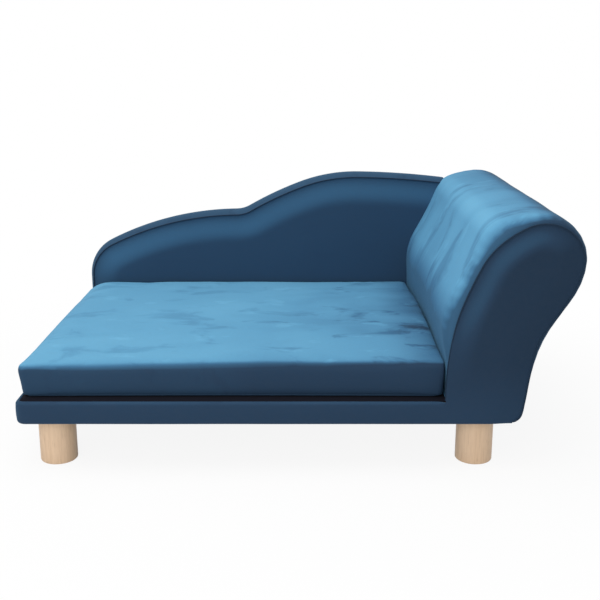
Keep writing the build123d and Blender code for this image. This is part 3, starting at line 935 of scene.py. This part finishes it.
def cushion():
    """The whole cushion: a stack of outlines made into an even mesh, then filled and shaped."""
    low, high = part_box("cushion_cover")
    levels = cushion_levels(low)
    around, slack = 240, 0.5 * mm
    vertices = []
    for inset, z in levels:
        vertices += [(*point, z) for point in plan_outline(low, high, inset + slack, around)]
    faces = grid_faces(len(levels), around, closed=True)
    faces.append(tuple(reversed(range(around))))
    last = (len(levels) - 1) * around
    faces.append(tuple(range(last, last + around)))
    piece = mesh_object("seat_cushion", vertices, faces, velvet_seat, "cushion")
    remesh = piece.modifiers.new("remesh", "REMESH")
    remesh.mode = "VOXEL"
    remesh.voxel_size = 5 * mm
    apply_modifiers(piece)
    crown_cushion(piece, low, high)
    inflate(piece, low, high)
    shape_cushion(piece, low, high)
    upholstery(piece, (low + high) / 2, 0.8, "cushion_cover", "cushion_foam")
    cushion_seam(low, high)


def crown_cushion(piece, low, high):
    """Raises the top in a crown, low at the front edge and the free left side and fullest at the back."""
    side_power, depth_power = 20, 2.2
    middle = (low + high) / 2
    for vertex in piece.data.vertices:
        place = vertex.co
        across = min(max((place.x - middle.x) / (high.x - middle.x), -1), 1)
        to_back = min(max((place.y - low.y) / (high.y - low.y), 0), 1)
        crown = cushion_full * (1 - max(-across, 0) ** side_power) * (1 - (1 - to_back) ** depth_power)
        crown += cushion_front_rise * (1 - to_back) * smooth_step(across, -0.75, 0.1)
        place.z = low.z + (place.z - low.z) * (1 + crown / cushion_side)


def inflate(piece, low, high):
    """Swells the cushion as a cloth bag and keeps small moves of it, least low down and in the corners."""
    steps = 20
    least, more = 0.4 * mm, 1.8 * mm
    start = [vertex.co.copy() for vertex in piece.data.vertices]
    cloth = piece.modifiers.new("cloth", "CLOTH")
    settings = cloth.settings
    settings.quality = 6
    settings.mass = 0.3
    settings.tension_stiffness = 15
    settings.compression_stiffness = 15
    settings.bending_stiffness = 0.5
    settings.use_pressure = True
    settings.uniform_pressure_force = 4
    settings.effector_weights.gravity = 0
    cloth.collision_settings.use_collision = False
    scene = bpy.context.scene
    scene.frame_start = 1
    scene.frame_end = steps
    for step in range(1, steps + 1):
        scene.frame_set(step)
    apply_modifiers(piece)
    scene.frame_set(1)
    for vertex, before in zip(piece.data.vertices, start):
        move = vertex.co - before
        side = min(before.x - low.x, high.x - before.x)
        corner = math.hypot(side, before.y - low.y)
        top = smooth_step(before.z, low.z + 34 * mm, low.z + 44 * mm)
        cap = least + more * smooth_step(corner, 8 * mm, 80 * mm) * top
        if move.length > cap:
            vertex.co = before + move.normalized() * cap


def apply_modifiers(piece):
    """Keeps the piece as its modifiers show it."""
    graph = bpy.context.evaluated_depsgraph_get()
    mesh = bpy.data.meshes.new_from_object(piece.evaluated_get(graph))
    piece.modifiers.clear()
    piece.data = mesh
    for polygon in mesh.polygons:
        polygon.use_smooth = True


def shape_cushion(piece, low, high):
    """Slants the boxing in to its foot, draws out the sewn corners and keeps the cushion in its space."""
    foot_slant = 2 * mm
    corner_reach, corner_out, corner_forward = 20 * mm, 3 * mm, 1.5 * mm
    large_swell, small_swell = 1.2 * mm, 0.4 * mm
    rear_push = 5 * mm
    x_least, x_most = low.x - 0.8 * mm, high.x + 2.4 * mm
    y_least, y_most = low.y - 0.5 * mm, high.y - 0.6 * mm
    middle = (low + high) / 2
    corners = [Vector((x, low.y, low.z + 0.92 * cushion_side)) for x in (low.x, high.x)]
    for vertex in piece.data.vertices:
        place = vertex.co
        height = min(max((place.z - low.z) / cushion_side, 0), 1)
        narrow = 1 - foot_slant * (1 - height) / (middle.x - low.x)
        place.x = middle.x + (place.x - middle.x) * narrow
        top = smooth_step(place.z, low.z + 28 * mm, low.z + 46 * mm)
        swell = large_swell * ripple(place, scale=0.13, seed=2.0)
        swell += small_swell * ripple(place, scale=0.045, seed=9.0)
        place.z += top * swell
        for corner in corners:
            pull = math.exp(-((place - corner).length / corner_reach) ** 2)
            place.x += math.copysign(corner_out, corner.x - middle.x) * pull
            place.y -= corner_forward * pull
        right = cushion_spread_right * smooth_step(place.x, 0, high.x)
        right *= 1 - smooth_step(place.y, 60 * mm, high.y)
        left = cushion_spread_left * smooth_step(-place.x, 0, -low.x)
        left *= 1 - smooth_step(place.y, -120 * mm, high.y)
        place.x = min(max(place.x, x_least) + right - left, x_most)
        back = rear_push * smooth_step(place.y, high.y - 60 * mm, high.y - 5 * mm)
        place.y = min(max(place.y, y_least) + back, y_most)
        place.z = max(place.z, low.z)


def cushion_seam(low, high):
    """The seam along the lower edge of the boxing, which catches a little light."""
    radius, inset, height = 1.1 * mm, 3.2 * mm, 1.4 * mm
    points = [(point.x, point.y, low.z + height) for point in plan_outline(low, high, inset, 260)]
    cord("cushion_seam_low", points + [points[0]], radius, velvet_seam, "cushion", "velvet")


# Cloths of the deck and the underside
def even_steps(start, end, count):
    """Evenly spaced places along one side of a cloth, all of them level."""
    return [(start + (end - start) * i / count, 0.0) for i in range(count + 1)]


def stretched_cloth(name, node, material, level, sag, across, deep):
    """A taut cloth over a grid of places, each with how far the cloth is turned down there."""
    vertices = []
    for j, (y, drop_y) in enumerate(deep):
        for i, (x, drop_x) in enumerate(across):
            middle = math.sin(math.pi * i / (len(across) - 1)) * math.sin(math.pi * j / (len(deep) - 1))
            swell = 0.15 * mm * ripple((x, y, 0), scale=0.05, seed=4.0)
            z = level + middle * (sag + swell) - max(drop_x, drop_y)
            vertices.append((x, y, z))
    piece = mesh_object(name, vertices, grid_faces(len(deep), len(across)), material)
    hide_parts(node)


def deck_sheet():
    """Black cloth over the deck board with painted shade, turned down over its front and left edges."""
    low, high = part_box("seat_deck")
    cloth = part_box("deck_cloth")[1]
    turn, drop = 2.5 * mm, 2 * mm
    across = [(low.x - turn, drop)] + even_steps(low.x, cloth.x + 3 * mm, 60)
    deep = [(low.y - turn, drop)] + even_steps(low.y, cloth.y, 48)
    stretched_cloth("deck_sheet", "deck_cloth", deck_black_and_shade, cloth.z, 0.0, across, deep)


def dust_sheet():
    """Black cloth under the base, hanging a little between its staples."""
    low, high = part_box("dust_cloth")
    across, deep = even_steps(low.x, high.x, 50), even_steps(low.y, high.y, 40)
    sag = -0.4 * mm
    stretched_cloth("dust_sheet", "dust_cloth", dust_black, low.z, sag, across, deep)


def staples():
    """Wire staples that hold the dust cloth over the turned-under velvet."""
    low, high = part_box("dust_cloth")
    level = low.z
    length, wire, rise, bend = 9 * mm, 0.6 * mm, 0.5 * mm, 0.92
    margin, pitch = 5 * mm, 46 * mm
    runs = [
        (Vector((low.x, low.y + margin)), Vector((high.x, low.y + margin))),
        (Vector((high.x - margin, low.y)), Vector((high.x - margin, high.y))),
        (Vector((high.x, high.y - margin)), Vector((low.x, high.y - margin))),
        (Vector((low.x + margin, high.y)), Vector((low.x + margin, low.y))),
    ]
    vertices, faces = [], []
    for start, end in runs:
        along = (end - start).normalized()
        across = rotated(along, math.pi / 2)
        count = int((end - start).length / pitch)
        for i in range(count):
            centre = start.lerp(end, (i + 0.5) / count)
            first = len(vertices)
            for shift, drop in ((-1, 0), (-bend, -1), (bend, -1), (1, 0)):
                for side in (-1, 1):
                    spot = centre + along * shift * length / 2 + across * side * wire / 2
                    vertices.append((spot.x, spot.y, level + drop * rise))
            for j in range(3):
                a = first + 2 * j
                faces.append((a, a + 1, a + 3, a + 2))
    piece = mesh_object("dust_staples", vertices, faces, zinc)
    thick = piece.modifiers.new("thick", "SOLIDIFY")
    thick.thickness = 0.4 * mm


def build():
    dress_nodes()
    arm_wrap()
    flat_panel("arm_front_panel", y_face, -1, ["arm_front_pad"])
    flat_panel("arm_rear_panel", y_rear, 1, ["arm_rear_cover", "arm_rear_pad"])
    arm_pipings()
    base_band()
    back_band()
    back_face("back_front_face", back_front, -1, back_recess, z_seat, ["back_foam_front"])
    back_face("back_rear_face", y_rear, 1, back_rear_recess, z_back_foot, ["back_wadding"])
    back_piping()
    cushion()
    deck_sheet()
    dust_sheet()
    staples()


# Studio: pale floor, soft lamps and the photograph's viewpoint
def background_rays(tree):
    """1 where the camera, or glass or gloss, looks straight at the background."""
    path = tree.nodes.new("ShaderNodeLightPath")
    result = path.outputs["Is Camera Ray"]
    for name in ("Is Glossy Ray", "Is Transmission Ray"):
        larger = tree.nodes.new("ShaderNodeMath")
        larger.operation = "MAXIMUM"
        tree.links.new(result, larger.inputs[0])
        tree.links.new(path.outputs[name], larger.inputs[1])
        result = larger.outputs["Value"]
    return result


def studio_floor():
    """White floor: near the sofa it keeps a faint shadow, further off it runs into the background."""
    bpy.ops.mesh.primitive_plane_add(size=40, location=(0, 0, 0))
    floor = bpy.context.object
    floor.name = "studio_floor"
    n = Nodes("studio_white")
    grain = n.noise(3.0, detail=1.0)
    white = n.ramp(grain, [(0.0, (0.88, 0.88, 0.88)), (1.0, (0.90, 0.90, 0.90))])
    n.surface("Base Color", white)
    n.surface("Roughness", 0.9)
    away = n.new("VectorMath")
    away.operation = "LENGTH"
    n.link(n.place, away.inputs[0])
    share = n.band(away.outputs["Value"], 0.3, 0.9, 0.90, 1.0)
    share = n.math("MULTIPLY", share, background_rays(n.tree))
    glow = n.new("Emission", Color=(1, 1, 1, 1))
    mixed = n.new("MixShader", Fac=share)
    n.link(n.shader.outputs["BSDF"], mixed.inputs[1])
    n.link(glow.outputs["Emission"], mixed.inputs[2])
    n.link(mixed.outputs["Shader"], n.tree.nodes["Material Output"].inputs["Surface"])
    floor.data.materials.append(n.material)


def studio_world():
    """White where the camera looks straight at it, and a softer white light for everything else."""
    world = bpy.data.worlds.new("studio_world")
    bpy.context.scene.world = world
    world.use_nodes = True
    tree = world.node_tree
    fill, plain = tree.nodes["Background"], tree.nodes.new("ShaderNodeBackground")
    for shader, strength in ((fill, 0.5), (plain, 1.0)):
        shader.inputs["Color"].default_value = (1, 1, 1, 1)
        shader.inputs["Strength"].default_value = strength
    mixed = tree.nodes.new("ShaderNodeMixShader")
    tree.links.new(background_rays(tree), mixed.inputs["Fac"])
    tree.links.new(fill.outputs["Background"], mixed.inputs[1])
    tree.links.new(plain.outputs["Background"], mixed.inputs[2])
    tree.links.new(mixed.outputs["Shader"], tree.nodes["World Output"].inputs["Surface"])


def studio_lamps():
    lamps = [
        ("lamp_top", (-0.30, -0.20, 1.7), 1.5, 17),
        ("lamp_front", (-0.8, -1.9, 0.9), 1.4, 11),
    ]
    for name, place, size, power in lamps:
        light = bpy.data.lights.new(name, "AREA")
        light.size = size
        light.energy = power
        lamp = bpy.data.objects.new(name, light)
        lamp.location = place
        aim = Vector((0, 0, 0.15)) - Vector(place)
        lamp.rotation_euler = aim.to_track_quat("-Z", "Y").to_euler()
        bpy.context.collection.objects.link(lamp)


def camera():
    """The photograph's viewpoint, in front of the middle and looking slightly down."""
    focal_pixels, picture_pixels = 940, 600
    tilt = math.radians(90 - 14.89)
    data = bpy.data.cameras.new("camera")
    data.sensor_width = 36
    data.lens = data.sensor_width * focal_pixels / picture_pixels
    eye = bpy.data.objects.new("camera", data)
    eye.location = (5 * mm, -1405 * mm, 544 * mm)
    eye.rotation_euler = (tilt, 0, 0)
    bpy.context.collection.objects.link(eye)
    bpy.context.scene.camera = eye


build()
studio_floor()
studio_world()
studio_lamps()
camera()
bpy.context.scene.view_settings.view_transform = "Standard"
